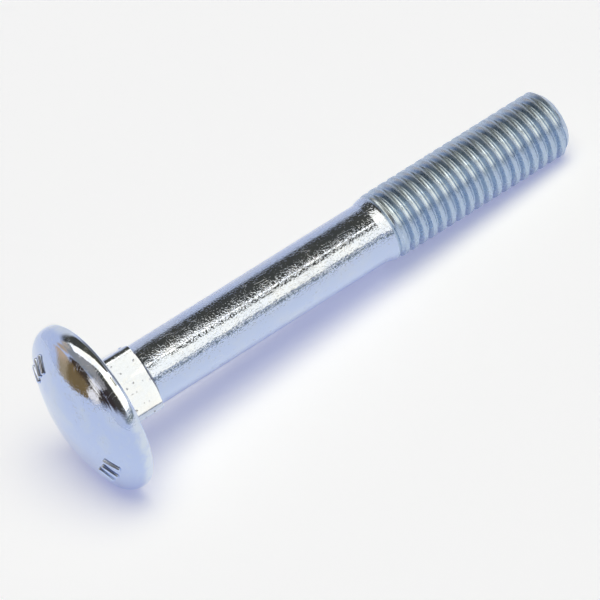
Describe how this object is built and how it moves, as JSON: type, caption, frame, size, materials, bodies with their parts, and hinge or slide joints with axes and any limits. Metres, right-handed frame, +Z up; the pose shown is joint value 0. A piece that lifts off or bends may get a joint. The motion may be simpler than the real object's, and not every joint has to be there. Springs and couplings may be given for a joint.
{
  "type": "carriage bolt",
  "caption": "Carriage bolt with a low domed head, a square neck, a plain reduced shank and a threaded end, lying on its side.",
  "frame": {"origin": "on the ground under the middle of the lying bolt's bounding box", "axes": "+X runs level from the head towards the threaded end, +Z is up; the bolt's own axis lies in the XZ plane and falls towards +X by 5.6 degrees, because the head is wider than the thread"},
  "size_m": [0.0646, 0.0194, 0.0194],
  "materials": {
    "zinc_plate": "bright zinc plate with a blue-white tint over forged and rolled steel"
  },
  "bodies": {
    "root": {"bolt": "zinc_plate"}
  },
  "joints": []
}
